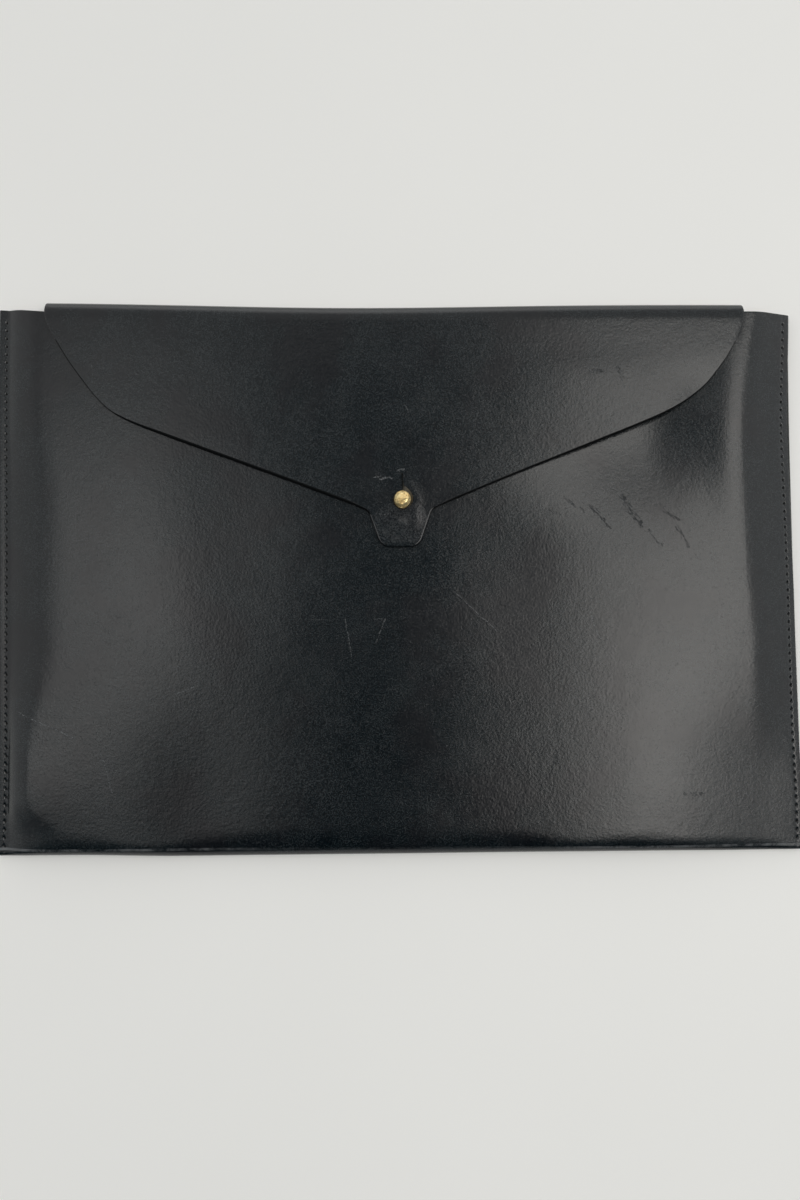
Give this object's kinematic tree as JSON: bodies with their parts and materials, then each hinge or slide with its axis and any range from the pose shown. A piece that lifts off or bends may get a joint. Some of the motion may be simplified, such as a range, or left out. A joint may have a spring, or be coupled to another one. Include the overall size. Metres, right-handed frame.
{
  "type": "document wallet",
  "caption": "Flat envelope-style leather document wallet with sewn sides, a turn-over flap with rounded corners and a tab, and a brass ball stud that buttons through a keyhole.",
  "frame": {"origin": "on the surface that the closed wallet lies on, midway along its width and midway between the bottom fold and the turn of the flap", "axes": "+X along the mouth, to the right as the flap is seen; +Y from the bottom fold to the mouth; +Z out of the front, the way the stud points"},
  "size_m": [0.34, 0.235, 0.0167],
  "materials": {
    "black_leather": "worn semi-gloss with fine grain",
    "black_thread": "waxed",
    "polished_brass": "polished, finely scratched",
    "plain_brass": "turned"
  },
  "bodies": {
    "pocket_body": {"pocket": "black_leather", "left_stitching": "black_thread", "right_stitching": "black_thread", "stud_head": "polished_brass", "stud_screw": "plain_brass"},
    "fold_1": {"fold_strip_1": "black_leather"},
    "fold_2": {"fold_strip_2": "black_leather"},
    "fold_3": {"fold_strip_3": "black_leather"},
    "flap_body": {"flap": "black_leather"}
  },
  "joints": [
    {"name": "flap_turn_1", "type": "hinge", "parent": "pocket_body", "child": "fold_1", "pos_m": [0, 0.11263, 0], "axis": [-1, 0, 0], "range_deg": [0, 30]},
    {"name": "flap_turn_2", "type": "hinge", "parent": "fold_1", "child": "fold_2", "pos_m": [0, 0.11683, 0.00243], "axis": [-1, 0, 0], "range_deg": [0, 60]},
    {"name": "flap_turn_3", "type": "hinge", "parent": "fold_2", "child": "fold_3", "pos_m": [0, 0.11683, 0.00728], "axis": [-1, 0, 0], "range_deg": [0, 60]},
    {"name": "flap_turn_4", "type": "hinge", "parent": "fold_3", "child": "flap_body", "pos_m": [0, 0.11263, 0.0097], "axis": [-1, 0, 0], "range_deg": [0, 30]}
  ],
  "couplings": [
    {"joint": "flap_turn_1", "follows": "flap_turn_2", "ratio": 0.5},
    {"joint": "flap_turn_3", "follows": "flap_turn_2", "ratio": 1},
    {"joint": "flap_turn_4", "follows": "flap_turn_2", "ratio": 0.5}
  ]
}
